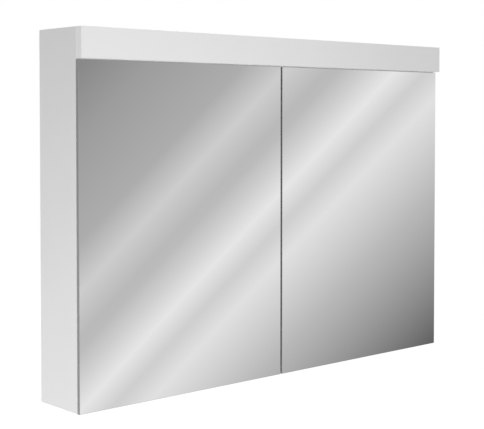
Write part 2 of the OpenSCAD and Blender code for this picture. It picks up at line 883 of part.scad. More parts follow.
hinge_boss(-1, hinge_zs[1]);  // left_lower_hinge_boss
hinge_boss(1, hinge_zs[0]);  // right_upper_hinge_boss
hinge_boss(1, hinge_zs[1]);  // right_lower_hinge_boss
links(-1) long_lever();  // left_long_levers
links(-1) short_lever();  // left_short_levers
links(-1) long_strut();  // left_long_struts
links(-1) short_strut();  // left_short_struts
links(1) long_lever();  // right_long_levers
links(1) short_lever();  // right_short_levers
links(1) long_strut();  // right_long_struts
links(1) short_strut();  // right_short_struts
hinge_screws();
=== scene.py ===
"""Looks of a two-door bathroom mirror cabinet with a light bar across its top.

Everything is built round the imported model, in metres and in its frame: the wall
is the plane y = 0, the doors face -Y, X runs along the width and Z is up.
"""

import json
import logging
import math
from dataclasses import dataclass, field, replace
from enum import Enum
from typing import Callable, Iterable, Optional, Sequence, Union

import bmesh
import bpy
from mathutils import Matrix, Vector

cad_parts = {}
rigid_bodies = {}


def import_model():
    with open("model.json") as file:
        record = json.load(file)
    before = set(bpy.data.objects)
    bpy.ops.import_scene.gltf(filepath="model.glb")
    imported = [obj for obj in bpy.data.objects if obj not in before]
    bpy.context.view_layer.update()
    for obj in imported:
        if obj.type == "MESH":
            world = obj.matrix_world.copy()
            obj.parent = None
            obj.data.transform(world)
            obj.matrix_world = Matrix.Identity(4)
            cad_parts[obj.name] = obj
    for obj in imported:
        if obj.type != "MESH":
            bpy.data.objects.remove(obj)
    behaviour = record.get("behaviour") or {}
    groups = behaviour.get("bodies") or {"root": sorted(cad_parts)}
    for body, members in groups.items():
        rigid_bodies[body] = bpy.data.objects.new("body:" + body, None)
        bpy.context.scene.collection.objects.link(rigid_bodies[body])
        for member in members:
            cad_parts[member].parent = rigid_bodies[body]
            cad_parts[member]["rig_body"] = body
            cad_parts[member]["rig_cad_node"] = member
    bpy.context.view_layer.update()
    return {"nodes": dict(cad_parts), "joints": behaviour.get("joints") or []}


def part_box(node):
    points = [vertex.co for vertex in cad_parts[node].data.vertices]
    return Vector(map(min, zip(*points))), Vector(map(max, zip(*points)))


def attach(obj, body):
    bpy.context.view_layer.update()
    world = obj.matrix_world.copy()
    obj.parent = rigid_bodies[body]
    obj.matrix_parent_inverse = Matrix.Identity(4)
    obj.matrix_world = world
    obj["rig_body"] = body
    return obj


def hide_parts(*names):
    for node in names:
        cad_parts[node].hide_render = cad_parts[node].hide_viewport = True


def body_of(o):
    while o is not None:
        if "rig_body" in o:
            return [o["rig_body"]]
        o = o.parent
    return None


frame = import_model()

# The picture's width in pixels, and a millimetre in metres.
PICTURE_W = 484
MM = 0.001
WHITE = "#FFFFFF"

# Corners nearer than this are one corner, in metres.
WELD = 0.002 * MM
# Faces that lie within this angle of each other are one flat face, in degrees.
FLAT_ANGLE = 0.5
# From these angles on an edge is rounded, and an edge is drawn as one, in degrees.
SHARP_ANGLE = 30.0
CREASE_ANGLE = 38.0

# Where nearly all of a noise's values lie.
NOISE_LOW = 0.3
NOISE_HIGH = 0.7
# How far light soaks into a milky plastic, in metres.
SOAK = 1.5 * MM

log = logging.getLogger("mirror_cabinet")

Tree = bpy.types.NodeTree
Socket = bpy.types.NodeSocket
Piece = bpy.types.Object
Pair = tuple[float, float]
Triple = tuple[float, float, float]
Colour = tuple[float, float, float, float]


class Side(Enum):
    """A half of the cabinet, with the direction of X that it lies in."""

    LEFT = -1
    RIGHT = 1

    @property
    def word(self) -> str:
        """The side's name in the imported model."""
        return self.name.lower()


class Level(Enum):
    """The upper or lower hinge of a door."""

    UPPER = "upper"
    LOWER = "lower"


class Seen(Enum):
    """The kinds of ray that meet a bright backdrop."""

    CAMERA = "Is Camera Ray"
    GLOSSY = "Is Glossy Ray"
    TRANSMISSION = "Is Transmission Ray"


# Places


def facing(at: Vector, towards: Vector) -> Matrix:
    """Gives a place whose own Z axis points a given way.

    Args:
        at: The place's origin, in metres.
        towards: The direction of its Z axis.

    Returns:
        The matrix of the place.
    """
    return Matrix.Translation(at) @ towards.to_track_quat("Z", "Y").to_matrix().to_4x4()


def middle_of(node: str) -> Vector:
    """Gives the middle of a CAD node's box, in metres."""
    low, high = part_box(node)
    return (low + high) / 2


def pivot_of(joint: str) -> Vector:
    """Gives the point that a joint turns about at rest.

    Args:
        joint: The joint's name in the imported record.

    Returns:
        The point, in metres.
    """
    found = next(j for j in frame["joints"] if j["name"] == joint)
    return Vector(found["pos_m"])


# Colours and nodes


def linear(code: str) -> Colour:
    """Turns an sRGB hex colour into the linear colour that Blender works in.

    Args:
        code: The colour as #RRGGBB.

    Returns:
        Linear red, green and blue, and an alpha of 1.
    """
    parts = [int(code[i:i + 2], 16) / 255 for i in (1, 3, 5)]
    red, green, blue = (
        c / 12.92 if c <= 0.04045 else ((c + 0.055) / 1.055) ** 2.4 for c in parts
    )
    return red, green, blue, 1.0


def add(tree: Tree, kind: str, inputs: Optional[dict] = None,
        **settings: object) -> bpy.types.Node:
    """Adds a node with its settings and links.

    Args:
        tree: The node tree it goes into.
        kind: Blender's name for the node's type.
        inputs: What goes into each input, by name or number: a socket or a value.
        settings: The node's own settings.

    Returns:
        The new node.
    """
    made = tree.nodes.new(kind)
    for name, value in settings.items():
        setattr(made, name, value)
    for name, value in (inputs or {}).items():
        if isinstance(value, Socket):
            tree.links.new(value, made.inputs[name])
        else:
            made.inputs[name].default_value = value
    return made


def chain(tree: Tree, start: Union[Socket, float], *steps: Sequence) -> Socket:
    """Sends a number through a row of Math steps.

    Args:
        tree: The node tree.
        start: The first number.
        steps: The operation and the further operands of each step.

    Returns:
        The last step's output.
    """
    for operation, *operands in steps:
        inputs = dict(enumerate([start, *operands]))
        start = add(tree, "ShaderNodeMath", inputs, operation=operation).outputs[0]
    return start


def mix(tree: Tree, share: Socket, low: Union[Socket, Colour],
        high: Union[Socket, Colour]) -> Socket:
    """Mixes two colours.

    Args:
        tree: The node tree.
        share: How much of the second colour shows, from 0 to 1.
        low: The first colour.
        high: The second colour.

    Returns:
        The mixed colour's socket.
    """
    inputs = {0: share, 6: low, 7: high}
    return add(tree, "ShaderNodeMix", inputs, data_type="RGBA").outputs[2]


def blank(name: str) -> bpy.types.Material:
    """Makes a material whose node tree is still empty.

    Args:
        name: The material's name.

    Returns:
        The material.
    """
    made = bpy.data.materials.new(name)
    made.use_nodes = True
    made.node_tree.nodes.clear()
    return made


# Finishes


@dataclass(frozen=True)
class Finish:
    """A real material and process, with the record's slot it stands for."""

    slot: str
    name: str

    def paint(self, tree: Tree) -> Socket:
        """Builds the nodes and gives the shader's output."""
        raise NotImplementedError

    def material(self) -> bpy.types.Material:
        """Gives the finish's material, which is made on first use.

        Returns:
            The material.
        """
        found = bpy.data.materials.get(self.name)
        if found is None:
            found = blank(self.name)
            tree = found.node_tree
            add(tree, "ShaderNodeOutputMaterial", {"Surface": self.paint(tree)})
        return found

    def dress(self, piece: Piece) -> None:
        """Gives all of a piece this finish.

        Args:
            piece: A CAD node's object or a piece of the scene.
        """
        if not piece.material_slots:
            piece.data.materials.append(None)
        for place in piece.material_slots:
            place.material = self.material()


@dataclass(frozen=True)
class Grained(Finish):
    """A surface with a fine grain in relief and a broad, faint change of tone.

    The sizes are in millimetres. Stretch lengthens the grain along each axis.
    """

    colour: str
    tint: str
    rough: Pair
    mottle: float
    grain: float
    relief: float
    stretch: Triple = (1.0, 1.0, 1.0)
    streaks: float = 0.0
    metallic: float = 0.0
    ior: float = 1.5
    clear: float = 0.0
    coat: float = 0.0
    soft: float = 0.0
    glow: float = 0.0

    def paint(self, tree: Tree) -> Socket:
        """Builds the grain, the mottle and the shader.

        Args:
            tree: The material's node tree.

        Returns:
            The shader's output.
        """
        place = add(tree, "ShaderNodeTexCoord").outputs["Object"]
        drawn = add(tree, "ShaderNodeMapping", {
            "Vector": place, "Scale": tuple(1 / s for s in self.stretch),
        }).outputs[0]
        mottle = add(tree, "ShaderNodeTexNoise", {
            "Vector": place, "Scale": 1 / (self.mottle * MM), "Detail": 2.0,
        }).outputs[0]
        grain = add(tree, "ShaderNodeTexNoise", {
            "Vector": drawn, "Scale": 1 / (self.grain * MM), "Detail": 3.0,
        }).outputs[0]
        tone = add(tree, "ShaderNodeMapRange", {
            "Value": chain(tree, grain, ("SUBTRACT", 0.5), ("MULTIPLY", self.streaks),
                           ("ADD", mottle)),
            "From Min": NOISE_LOW, "From Max": NOISE_HIGH,
        }).outputs[0]
        gloss = add(tree, "ShaderNodeMapRange", {
            "Value": grain, "From Min": NOISE_LOW, "From Max": NOISE_HIGH,
            "To Min": self.rough[0], "To Max": self.rough[1],
        }).outputs[0]
        relief = add(tree, "ShaderNodeBump", {
            "Height": grain, "Distance": self.relief * MM, "Strength": 1.0,
        }).outputs[0]
        shader = add(tree, "ShaderNodeBsdfPrincipled", {
            "Base Color": mix(tree, tone, linear(self.colour), linear(self.tint)),
            "Roughness": gloss, "Normal": relief, "Metallic": self.metallic,
            "Transmission Weight": self.clear, "Coat Weight": self.coat,
            "Subsurface Weight": self.soft, "Subsurface Scale": SOAK,
            "Emission Color": linear(WHITE), "Emission Strength": self.glow,
        })
        if not self.metallic:
            shader.inputs["IOR"].default_value = self.ior
        return shader.outputs[0]


@dataclass(frozen=True)
class SilveredMirror(Finish):
    """Float glass, silvered and painted on its back, with ground edges.

    The big faces reflect: those that look along Y by more than face_turn. The
    edges are matt and grey, with a dark line where the painted backs of the two
    panes are bonded together.
    """

    silver: str
    edge: str
    paint_line: str
    bond_y: float
    rough: Pair = (0.35, 0.012)
    face_turn: float = 0.9
    line_half: float = 0.3

    def paint(self, tree: Tree) -> Socket:
        """Builds the masks for face and bond line, and the shader.

        Args:
            tree: The material's node tree.

        Returns:
            The shader's output.
        """
        coords = add(tree, "ShaderNodeTexCoord")
        turned = add(tree, "ShaderNodeSeparateXYZ", {0: coords.outputs["Normal"]}).outputs[1]
        depth = add(tree, "ShaderNodeSeparateXYZ", {0: coords.outputs["Object"]}).outputs[1]
        face = chain(tree, turned, ("ABSOLUTE",), ("GREATER_THAN", self.face_turn))
        bond = chain(tree, depth, ("SUBTRACT", self.bond_y), ("ABSOLUTE",),
                     ("LESS_THAN", self.line_half * MM))
        rim = mix(tree, bond, linear(self.edge), linear(self.paint_line))
        gloss = add(tree, "ShaderNodeMapRange", {
            "Value": face, "To Min": self.rough[0], "To Max": self.rough[1],
        }).outputs[0]
        return add(tree, "ShaderNodeBsdfPrincipled", {
            "Base Color": mix(tree, face, rim, linear(self.silver)),
            "Metallic": face, "Roughness": gloss,
        }).outputs[0]


@dataclass(frozen=True)
class ShelfGlass(Finish):
    """Clear float glass, whose polished edges look deeper green than its faces."""

    face: str
    edge: str
    rough: float = 0.01
    ior: float = 1.52
    face_turn: float = 0.5

    def paint(self, tree: Tree) -> Socket:
        """Builds the mask for the edges and the shader.

        Args:
            tree: The material's node tree.

        Returns:
            The shader's output.
        """
        normal = add(tree, "ShaderNodeTexCoord").outputs["Normal"]
        upward = add(tree, "ShaderNodeSeparateXYZ", {0: normal}).outputs[2]
        flat = chain(tree, upward, ("ABSOLUTE",), ("GREATER_THAN", self.face_turn))
        return add(tree, "ShaderNodeBsdfPrincipled", {
            "Base Color": mix(tree, flat, linear(self.edge), linear(self.face)),
            "Roughness": self.rough, "IOR": self.ior, "Transmission Weight": 1.0,
        }).outputs[0]


@dataclass(frozen=True)
class LightBoard(Finish):
    """White solder resist with a row of small yellow chips.

    The pitch and the chips' half sizes are in metres. The resist's roughness
    comes before the chips'.
    """

    resist: str
    chip: str
    mid_y: float
    pitch: float = 24 * MM
    half_x: float = 1.55 * MM
    half_y: float = 1.45 * MM
    rough: Pair = (0.38, 0.2)

    def paint(self, tree: Tree) -> Socket:
        """Builds the mask of the chips and the shader.

        Args:
            tree: The material's node tree.

        Returns:
            The shader's output.
        """
        coords = add(tree, "ShaderNodeTexCoord").outputs["Object"]
        place = add(tree, "ShaderNodeSeparateXYZ", {0: coords})
        across = chain(tree, place.outputs[0], ("ADD", self.pitch / 2),
                       ("PINGPONG", self.pitch / 2), ("LESS_THAN", self.half_x))
        along = chain(tree, place.outputs[1], ("SUBTRACT", self.mid_y), ("ABSOLUTE",),
                      ("LESS_THAN", self.half_y))
        chip = chain(tree, across, ("MULTIPLY", along))
        gloss = add(tree, "ShaderNodeMapRange", {
            "Value": chip, "To Min": self.rough[0], "To Max": self.rough[1],
        }).outputs[0]
        return add(tree, "ShaderNodeBsdfPrincipled", {
            "Base Color": mix(tree, chip, linear(self.resist), linear(self.chip)),
            "Roughness": gloss,
        }).outputs[0]


# Sprayed satin lacquer on board: an even, neutral white with a soft sheen.
# Its orange peel, about 1 mm apart, is drawn at 3 mm so that it still shows.
SATIN_LACQUER = Grained(
    "white_board", "sprayed_satin_lacquer_on_board", colour="#E1E1E1", tint="#DEDEDE",
    rough=(0.30, 0.36), mottle=220, grain=3, relief=0.006,
)
# Coated hardboard: flatter and warmer than the lacquer, with the pressed fibres
# just showing through the coat.
COATED_BOARD = Grained(
    "back_board", "coated_hardboard", colour="#E5E5E3", tint="#E2E2E0",
    rough=(0.50, 0.62), mottle=60, grain=2.2, relief=0.02, streaks=0.5,
)
# Powder coat on sheet steel: matt white with a fine, even texture.
COVER_COAT = Grained(
    "cover_steel", "powder_coated_sheet_steel", colour="#E6E7E7", tint="#E2E3E3",
    rough=(0.42, 0.50), mottle=300, grain=1.6, relief=0.02,
)
# Bright zinc plating: a bluish grey metal, cloudy in patches of a few millimetres.
ZINC_PLATE = Grained(
    "zinc_steel", "bright_zinc_plated_steel", colour="#C9CDD0", tint="#B4B9BE",
    rough=(0.22, 0.36), mottle=7, grain=1.2, relief=0.006, metallic=1.0,
)
# Turned beech: warm pale brown with fine flecks along the dowel.
BEECH = Grained(
    "dowel_beech", "turned_beech", colour="#DDC39B", tint="#C9A877",
    rough=(0.55, 0.70), mottle=12, grain=0.7, relief=0.02, stretch=(9, 1, 1), streaks=1.4,
)
# Moulded rubber: almost black and matt, with a dusty bloom.
RUBBER = Grained(
    "grommet_rubber", "moulded_black_rubber", colour="#2C2C2D", tint="#38383A",
    rough=(0.62, 0.78), mottle=6, grain=0.8, relief=0.02, ior=1.52,
)
# Nickel plating on turned brass: a warm, bright metal.
PIN_NICKEL = Grained(
    "pin_nickel", "nickel_plated_brass", colour="#D3D0C9", tint="#C4C1BA",
    rough=(0.12, 0.24), mottle=9, grain=0.6, relief=0.002, metallic=1.0,
)
# Clear cast polyurethane: soft, glassy domes with a faint haze.
CLEAR_BUMPER = Grained(
    "bumper_clear", "cast_clear_polyurethane", colour="#EEF1F1", tint="#E6EAEA",
    rough=(0.08, 0.14), mottle=4, grain=1, relief=0.002, clear=0.85, ior=1.48,
)
# Satin powder coat on extruded aluminium: the brightest white of the outside,
# with the extrusion's faint lines running along the bar under the coat.
BAR_COAT = Grained(
    "bar_coat", "powder_coated_extruded_aluminium", colour="#F0F0F0", tint="#EDEDED",
    rough=(0.34, 0.42), mottle=400, grain=1.8, relief=0.008, stretch=(14, 1, 1),
)
# Moulded plastic end cap: a shade greyer than the bar, and finely eroded.
CAP_PLASTIC = Grained(
    "cap_plastic", "moulded_matt_asa", colour="#E9E9E9", tint="#E6E6E6",
    rough=(0.44, 0.52), mottle=40, grain=1.5, relief=0.012, ior=1.49,
)
# Extruded opal acrylic, unlit: milky and glossy, with light soaking into it.
OPAL_ACRYLIC = Grained(
    "opal_acrylic", "extruded_opal_acrylic", colour="#F4F3EF", tint="#F0EFEA",
    rough=(0.18, 0.26), mottle=90, grain=3, relief=0.002, stretch=(10, 1, 1), ior=1.49,
    soft=0.35,
)
# The same acrylic over the lit lower board: it sends back less of the room's light,
# and its mild, even glow fills the gap between the bar and the doors.
LIT_ACRYLIC = replace(
    OPAL_ACRYLIC, name="lit_opal_acrylic", colour="#CBCAC6", tint="#C7C6C2", glow=0.5,
)
# Moulded polycarbonate of the driver: plain office white with spark texture.
DRIVER_PLASTIC = Grained(
    "driver_plastic", "moulded_polycarbonate", colour="#E4E4E0", tint="#DFDFDA",
    rough=(0.45, 0.55), mottle=30, grain=1, relief=0.02, ior=1.58,
)
# Moulded natural nylon: waxy, slightly yellow and a little translucent.
NYLON = Grained(
    "block_nylon", "moulded_natural_nylon", colour="#E2DFCB", tint="#DAD6BE",
    rough=(0.35, 0.45), mottle=9, grain=1, relief=0.006, ior=1.53, soft=0.3,
)
# PVC sheath: mid grey with a soft gloss and drawing lines along the lead.
SHEATH = Grained(
    "wire_sheath", "extruded_pvc_sheath", colour="#8C8D90", tint="#848588",
    rough=(0.38, 0.50), mottle=25, grain=1.2, relief=0.008, ior=1.53,
)
# Pressed urea plastic of the socket: hard, glossy and pure white.
SOCKET_PLASTIC = Grained(
    "socket_plastic", "pressed_urea_plastic", colour="#EEEEEC", tint="#EBEBE8",
    rough=(0.12, 0.18), mottle=50, grain=4, relief=0.003, ior=1.56, coat=0.2,
)
# Nickel-plated pressed steel: bright, with rolling lines from front to back.
HINGE_NICKEL = Grained(
    "hinge_nickel", "nickel_plated_pressed_steel", colour="#CFCCC6", tint="#BFBCB5",
    rough=(0.16, 0.30), mottle=10, grain=0.5, relief=0.004, stretch=(1, 12, 1),
    streaks=0.6, metallic=1.0,
)
# Nickel-plated zinc casting: the same metal, duller and finely pitted.
BOSS_ZINC = Grained(
    "boss_zinc", "nickel_plated_zinc_casting", colour="#C6C4BF", tint="#B6B4AE",
    rough=(0.30, 0.42), mottle=8, grain=1.1, relief=0.02, metallic=1.0,
)
# Clear float glass shelf: nearly colourless faces and a green polished edge.
SHELF_GLASS = ShelfGlass("shelf_glass", "polished_float_glass", face="#F3FAF7", edge="#A9D3C1")
# Silvered float glass: two mirrors bonded back to back, with grey ground edges.
MIRROR = SilveredMirror(
    "silver_mirror", "silvered_float_glass", silver="#F7F7F7", edge="#8E9090",
    paint_line="#5C5D5D", bond_y=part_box("left_door_front_mirror")[1].y,
)
# Light board under each diffuser, with its chips in a row.
LIGHT_BOARD = LightBoard(
    "led_board", "solder_resist_with_chips", resist="#F1F1EA", chip="#E9D36A",
    mid_y=middle_of("lower_led_board").y,
)


# Meshes


def ease_edges(solid: bmesh.types.BMesh, width: float, steps: int,
               among: Optional[Callable[[Vector], bool]] = None) -> None:
    """Rounds the sharp edges of a solid.

    Args:
        solid: The mesh under construction.
        width: How far the rounding reaches from each edge, in millimetres.
        steps: The number of facets across a rounded edge.
        among: Where given, only edges whose ends both pass this test are rounded.
    """
    corners = [
        e for e in solid.edges
        if len(e.link_faces) == 2 and e.calc_face_angle(0) > math.radians(SHARP_ANGLE)
        and (among is None or all(among(v.co) for v in e.verts))
    ]
    bmesh.ops.bevel(
        solid, geom=corners, offset=width * MM, offset_type="OFFSET", segments=steps,
        profile=0.5, affect="EDGES", clamp_overlap=True,
    )


def shown(name: str, solid: bmesh.types.BMesh, body: str) -> Piece:
    """Turns a finished mesh into a piece that rides on a body.

    Args:
        name: The piece's name.
        solid: The finished mesh, which is freed.
        body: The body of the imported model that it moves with.

    Returns:
        The piece.
    """
    bmesh.ops.recalc_face_normals(solid, faces=solid.faces)
    mesh = bpy.data.meshes.new(name)
    solid.to_mesh(mesh)
    solid.free()
    mesh.shade_smooth()
    mesh.set_sharp_from_angle(angle=math.radians(CREASE_ANGLE))
    piece = bpy.data.objects.new(name, mesh)
    bpy.context.scene.collection.objects.link(piece)
    weights = piece.modifiers.new("flat_faces", "WEIGHTED_NORMAL")
    weights.keep_sharp = True
    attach(piece, body)
    return piece


def plain_copy(node: str) -> bmesh.types.BMesh:
    """Copies a CAD node's mesh, with its flat faces whole.

    Args:
        node: The CAD node's name.

    Returns:
        The copy.
    """
    solid = bmesh.new()
    solid.from_mesh(frame["nodes"][node].data)
    bmesh.ops.remove_doubles(solid, verts=solid.verts, dist=WELD)
    bmesh.ops.dissolve_limit(
        solid, angle_limit=math.radians(FLAT_ANGLE), verts=solid.verts, edges=solid.edges,
    )
    return solid


def stand_in(node: str, solid: bmesh.types.BMesh) -> Piece:
    """Puts a mesh in the place of a CAD node, on the same body.

    Args:
        node: The CAD node's name.
        solid: The finished mesh, which is freed.

    Returns:
        The piece.
    """
    piece = shown(f"eased_{node}", solid, body_of(frame["nodes"][node])[0])
    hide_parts(node)
    return piece


def eased(node: str, width: float, steps: int = 2) -> Piece:
    """Stands a copy of a CAD node in for it, with its sharp edges rounded.

    Args:
        node: The CAD node's name.
        width: How far the rounding reaches from each edge, in millimetres.
        steps: The number of facets across a rounded edge.

    Returns:
        The copy.
    """
    solid = plain_copy(node)
    ease_edges(solid, width, steps)
    return stand_in(node, solid)


def turn(solid: bmesh.types.BMesh, outline: Iterable[Pair], place: Matrix,
         steps: int = 40, ring: bool = False) -> None:
    """Adds a turned form.

    Args:
        solid: The mesh under construction.
        outline: Radius and height of each point, in millimetres.
        place: Where the form's own Z axis and origin go, in metres.
        steps: The number of facets round it.
        ring: Whether the outline closes on itself.
    """
    rings = []
    for radius, height in outline:
        angles = [2 * math.pi * i / steps for i in range(steps if radius else 1)]
        rings.append([
            solid.verts.new(place @ Vector((
                radius * math.cos(a) * MM, radius * math.sin(a) * MM, height * MM,
            )))
            for a in angles
        ])
    for low, high in zip(rings, rings[1:] + rings[:1] if ring else rings[1:]):
        for i in range(steps):
            corners = [low[i % len(low)], low[(i + 1) % len(low)],
                       high[(i + 1) % len(high)], high[i % len(high)]]
            solid.faces.new(dict.fromkeys(corners))


def prism(solid: bmesh.types.BMesh, outline: Iterable[Pair], low: float, high: float,
          place: Matrix) -> None:
    """Adds a solid of one section: an outline in Y and Z, drawn along X.

    Args:
        solid: The mesh under construction.
        outline: Y and Z of each corner in turn, in millimetres.
        low: Where the solid starts on X, in millimetres.
        high: Where it ends.
        place: Where the section's own axes go, in metres.
    """
    ends = [
        [solid.verts.new(place @ (Vector((x, y, z)) * MM)) for y, z in outline]
        for x in (low, high)
    ]
    count = len(ends[0])
    solid.faces.new(ends[0])
    solid.faces.new(ends[1])
    for i in range(count):
        j = (i + 1) % count
        solid.faces.new([ends[0][i], ends[0][j], ends[1][j], ends[1][i]])


# Sub-assemblies


@dataclass
class Assembly:
    """A sub-assembly: it shapes its pieces, then dresses them."""

    made: list[tuple[Piece, Finish]] = field(default_factory=list, init=False)

    def ease(self, finish: Finish, width: float, *nodes: str, steps: int = 2) -> None:
        """Takes CAD nodes over as copies with rounded edges.

        Args:
            finish: What they are finished in.
            width: How far the rounding reaches from each edge, in millimetres.
            nodes: The CAD nodes' names.
            steps: The number of facets across a rounded edge.
        """
        self.made += [(eased(node, width, steps), finish) for node in nodes]

    def keep(self, finish: Finish, *nodes: str) -> None:
        """Keeps CAD nodes as they are, in a better finish.

        Args:
            finish: What they are finished in.
            nodes: The CAD nodes' names.
        """
        self.made += [(frame["nodes"][node], finish) for node in nodes]

    def shape(self) -> None:
        """Builds the meshes of the sub-assembly."""
        raise NotImplementedError

    def dress(self) -> None:
        """Gives every piece of the sub-assembly its finish."""
        for piece, finish in self.made:
            finish.dress(piece)
            log.info("%s in %s", piece.name, finish.name)


@dataclass
class Carcass(Assembly):
    """The box of panels with its back, cover and fixings. Sizes are in millimetres."""

    panel_edge: float = 0.9
    rail_edge: float = 0.5
    sheet_edge: float = 0.4

    def shape(self) -> None:
        """Eases the panels and sheets, and keeps the dowels and screws."""
        self.ease(SATIN_LACQUER, self.panel_edge, "left_side_panel", "right_side_panel",
                  steps=3)
        self.ease(SATIN_LACQUER, self.rail_edge, "top_panel", "bottom_panel",
                  "centre_partition", "fascia_rail")
        self.ease(COATED_BOARD, self.sheet_edge, "back_panel")
        self.ease(COVER_COAT, self.sheet_edge, "top_cover")
        self.keep(BEECH, "carcass_dowels")
        self.keep(ZINC_PLATE, "cover_screws")


@dataclass
class Shelving(Assembly):
    """Glass shelves on nickel pins, and the clear bumpers.

    Sizes are in millimetres. The dome gives the bumpers' outline as shares of
    their radius and height.
    """

    glass_edge: float = 0.6
    pin_edge: float = 0.4
    bumper_r: float = 4.0
    bumper_steps: int = 32
    dome: tuple[Pair, ...] = (
        (0, 0), (1, 0), (1, 0.35), (0.9, 0.66), (0.7, 0.87), (0.4, 0.97), (0, 1),
    )

    def shape(self) -> None:
        """Eases the shelves and pins, and turns the bumpers."""
        self.ease(SHELF_GLASS, self.glass_edge, *(
            f"{side.word}_{level.value}_shelf" for side in Side for level in Level
        ))
        self.ease(PIN_NICKEL, self.pin_edge, "shelf_pins")
        self.bumpers()

    def bumpers(self) -> None:
        """Turns four low domes where the CAD has plain discs."""
        low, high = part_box("door_bumpers")
        rise = (high.y - low.y) / MM
        outline = [(self.bumper_r * out, rise * up) for out, up in self.dome]
        solid = bmesh.new()
        inset = self.bumper_r * MM
        for x in (low.x + inset, high.x - inset):
            for z in (low.z + inset, high.z - inset):
                place = facing(Vector((x, high.y, z)), Vector((0, -1, 0)))
                turn(solid, outline, place, self.bumper_steps)
        piece = shown("domed_bumpers", solid, "cabinet")
        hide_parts("door_bumpers")
        self.made.append((piece, CLEAR_BUMPER))


@dataclass
class Door(Assembly):
    """One door: two mirror panes bonded back to back."""

    side: Side = Side.LEFT

    def shape(self) -> None:
        """Keeps both panes, whose ground edges the CAD already has."""
        self.keep(MIRROR, *(
            f"{self.side.word}_door_{face}_mirror" for face in ("front", "back")
        ))


@dataclass
class Hinge(Assembly):
    """One hinge's plate, arm and boss. Sizes are in millimetres."""

    side: Side = Side.LEFT
    level: Level = Level.UPPER
    pressed_edge: float = 0.35
    cast_edge: float = 0.6

    def shape(self) -> None:
        """Eases the pressed and the cast pieces."""
        stem = f"{self.side.word}_{self.level.value}_hinge"
        self.ease(HINGE_NICKEL, self.pressed_edge, f"{stem}_plate", f"{stem}_arm")
        self.ease(BOSS_ZINC, self.cast_edge, f"{stem}_boss")


@dataclass
class Linkage(Assembly):
    """The levers and struts of one door's hinges. Sizes are in millimetres."""

    side: Side = Side.LEFT
    link_edge: float = 0.25

    def shape(self) -> None:
        """Eases the four pairs of links."""
        self.ease(HINGE_NICKEL, self.link_edge, *(
            f"{self.side.word}_{length}_{kind}"
            for length in ("long", "short") for kind in ("levers", "struts")
        ))


@dataclass
class LightBar(Assembly):
    """The light bar across the doors' heads. Sizes are in millimetres."""

    profile_edge: float = 0.45
    cap_edge: float = 0.4
    cap_corner: float = 1.7
    corner_steps: int = 5
    lens_edge: float = 0.25

    def shape(self) -> None:
        """Eases profile, caps and diffusers, and keeps boards and screws."""
        self.ease(BAR_COAT, self.profile_edge, "light_bar_profile")
        for side in Side:
            self.cap(side)
        self.ease(LIT_ACRYLIC, self.lens_edge, "lower_diffuser")
        self.ease(OPAL_ACRYLIC, self.lens_edge, "upper_diffuser")
        self.keep(LIGHT_BOARD, "lower_led_board", "upper_led_board")
        self.keep(ZINC_PLATE, "light_bar_screws")

    def cap(self, side: Side) -> None:
        """Eases an end cap, with a rounder corner at its outer front.

        Args:
            side: The end of the bar.
        """
        node = f"light_bar_{side.word}_cap"
        low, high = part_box(node)
        outer = (low if side is Side.LEFT else high).x
        solid = plain_copy(node)
        ease_edges(solid, self.cap_corner, self.corner_steps, among=lambda at: (
            max(abs(at.x - outer), abs(at.y - low.y)) < 0.01 * MM
        ))
        ease_edges(solid, self.cap_edge, 2)
        bmesh.ops.dissolve_degenerate(solid, edges=solid.edges, dist=WELD)
        self.made.append((stand_in(node, solid), CAP_PLASTIC))


@dataclass
class Supply(Assembly):
    """Driver, terminal block, leads and cable inlet. Sizes are in millimetres."""

    case_edge: float = 1.2
    block_edge: float = 0.5
    lip_edge: float = 0.7

    def shape(self) -> None:
        """Eases the mouldings and keeps the leads."""
        self.ease(DRIVER_PLASTIC, self.case_edge, "led_driver", steps=3)
        self.ease(NYLON, self.block_edge, "terminal_block")
        self.ease(RUBBER, self.lip_edge, "cable_grommet", steps=3)
        self.keep(SHEATH, "internal_wiring")


